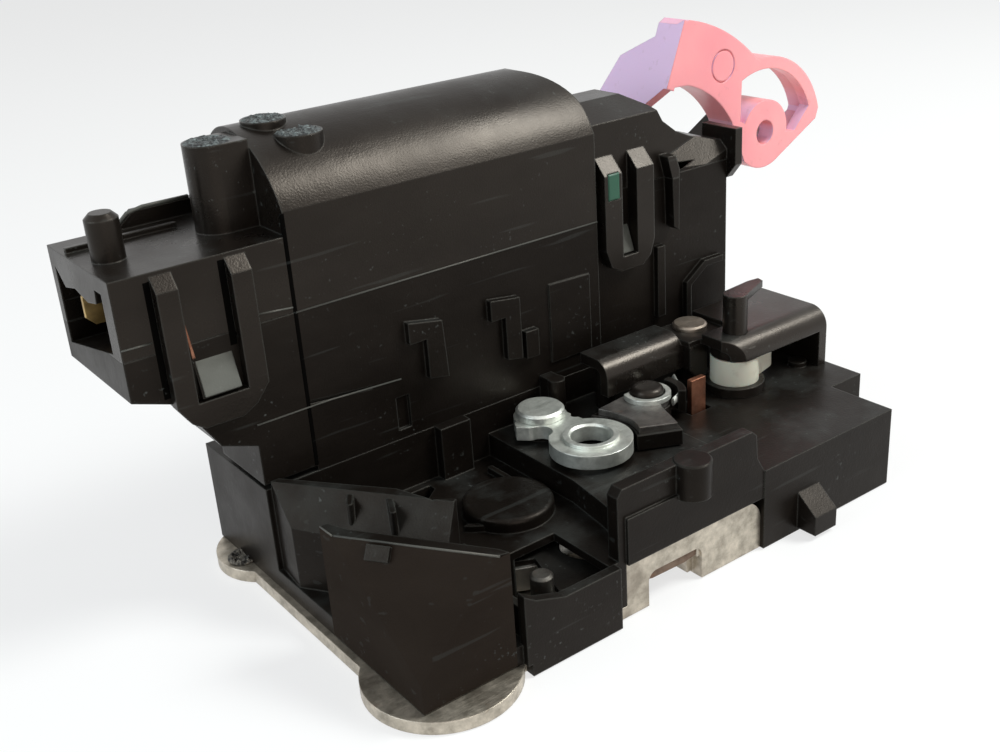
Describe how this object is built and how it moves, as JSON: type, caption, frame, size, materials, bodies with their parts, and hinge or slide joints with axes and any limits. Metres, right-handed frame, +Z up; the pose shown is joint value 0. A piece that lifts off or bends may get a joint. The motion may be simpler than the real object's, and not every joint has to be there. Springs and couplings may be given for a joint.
{
  "type": "door latch actuator",
  "caption": "Vehicle door latch with a fishmouth face plate, claw and pawl, deck levers, and a motor drive unit with a plug socket and a bell crank.",
  "frame": {"origin": "axis of the front left fixing hole on the underside of the face plate", "axes": "+X along the drive unit towards the bell crank, -Y towards the side where the striker enters, +Z up from the face plate"},
  "size_m": [0.192, 0.0914, 0.0935],
  "materials": {
    "zinc_plate": "zinc plated, dull",
    "black_moulding": "satin",
    "black_case": "satin",
    "black_cover": "satin",
    "black_bracket": "satin",
    "black_cap": "satin",
    "black_skin": "satin",
    "pin_steel": "machined",
    "spring_steel": "drawn",
    "lever_steel": "zinc plated",
    "grey_plate": "phosphated",
    "dull_rivet": "dull, tarnished",
    "claw_steel": "dull",
    "copper_plated": "tarnished",
    "brass_blade": "dull",
    "brass_worm": "machined",
    "green_plastic": "gloss",
    "motor_can": "nickel plated",
    "white_plastic": "satin",
    "natural_nylon": "satin",
    "pink_plastic": "satin"
  },
  "bodies": {
    "latch": {"face_plate": "zinc_plate", "latch_housing": "black_moulding", "claw_pivot": "pin_steel", "claw_spring": "spring_steel", "pawl_pivot": "pin_steel", "pawl_cap": "black_cap", "pawl_spring": "spring_steel", "stop_pin": "pin_steel", "release_pin": "lever_steel", "arm_bracket": "black_bracket", "arm_rivet": "dull_rivet", "drive_case": "black_case", "drive_cover": "black_cover", "blade_front": "brass_blade", "blade_rear": "brass_blade", "snap_insert": "green_plastic", "motor": "motor_can", "motor_cap": "white_plastic", "wheel_spindle": "pin_steel", "switch_side": "black_cap", "switch_bottom": "black_cap", "crank_stud": "pin_steel"},
    "claw": {"claw": "claw_steel", "claw_skin": "black_skin"},
    "pawl": {"pawl": "copper_plated", "pawl_skin": "black_skin"},
    "release_lever": {"release_lever": "lever_steel"},
    "locking_lever": {"lock_carrier": "black_cap", "lock_plate": "grey_plate", "lock_collar": "lever_steel"},
    "lock_cam": {"cam_shaft": "black_cap", "cam_block": "natural_nylon"},
    "armature": {"motor_shaft": "pin_steel", "worm": "brass_worm"},
    "gear_wheel": {"worm_wheel": "natural_nylon", "drive_cam": "natural_nylon"},
    "side_plunger": {"plunger_side": "white_plastic"},
    "bottom_plunger": {"plunger_bottom": "white_plastic"},
    "bell_crank": {"crank": "pink_plastic"}
  },
  "joints": [
    {"name": "claw_turn", "type": "hinge", "parent": "latch", "child": "claw", "pos_m": [0.033, 0.021, 0.0057], "axis": [0, 0, 1], "range_deg": [0, 62], "stiffness_Nm_per_rad": 0.05, "springref_deg": -17.19},
    {"name": "pawl_lift", "type": "hinge", "parent": "latch", "child": "pawl", "pos_m": [0.0736, 0.0241, 0.0057], "axis": [0, 0, 1], "range_deg": [0, 10], "stiffness_Nm_per_rad": 0.04, "springref_deg": -17.19},
    {"name": "release_swing", "type": "hinge", "parent": "latch", "child": "release_lever", "pos_m": [0.0526, 0.0346, 0.0207], "axis": [0, 0, -1], "range_deg": [0, 12], "stiffness_Nm_per_rad": 0.03, "springref_deg": -11.46},
    {"name": "lock_swing", "type": "hinge", "parent": "latch", "child": "locking_lever", "pos_m": [0.0736, 0.0241, 0.0207], "axis": [0, 0, 1], "range_deg": [0, 7]},
    {"name": "cam_turn", "type": "hinge", "parent": "latch", "child": "lock_cam", "pos_m": [0.0984, 0.0222, 0.025], "axis": [0, 0, 1], "range_deg": [-25, 25]},
    {"name": "wheel_spin", "type": "hinge", "parent": "latch", "child": "gear_wheel", "pos_m": [0.051, 0.056, 0.0509], "axis": [0, 1, 0], "range_deg": [-120, 120]},
    {"name": "armature_spin", "type": "hinge", "parent": "latch", "child": "armature", "pos_m": [0.051, 0.056, 0.072], "axis": [1, 0, 0], "range_deg": [-4080, 4080]},
    {"name": "side_press", "type": "slide", "parent": "latch", "child": "side_plunger", "axis": [1, 0, 0], "range_m": [0, 0.0015], "stiffness_N_per_m": 20, "springref_m": -0.0005},
    {"name": "bottom_press", "type": "slide", "parent": "latch", "child": "bottom_plunger", "axis": [0, 0, -1], "range_m": [0, 0.0015], "stiffness_N_per_m": 20, "springref_m": -0.0005},
    {"name": "crank_swing", "type": "hinge", "parent": "latch", "child": "bell_crank", "pos_m": [0.1424, 0.058, 0.0626], "axis": [0, 1, 0], "range_deg": [0, 30]}
  ],
  "couplings": [
    {"joint": "armature_spin", "follows": "wheel_spin", "ratio": 34}
  ]
}
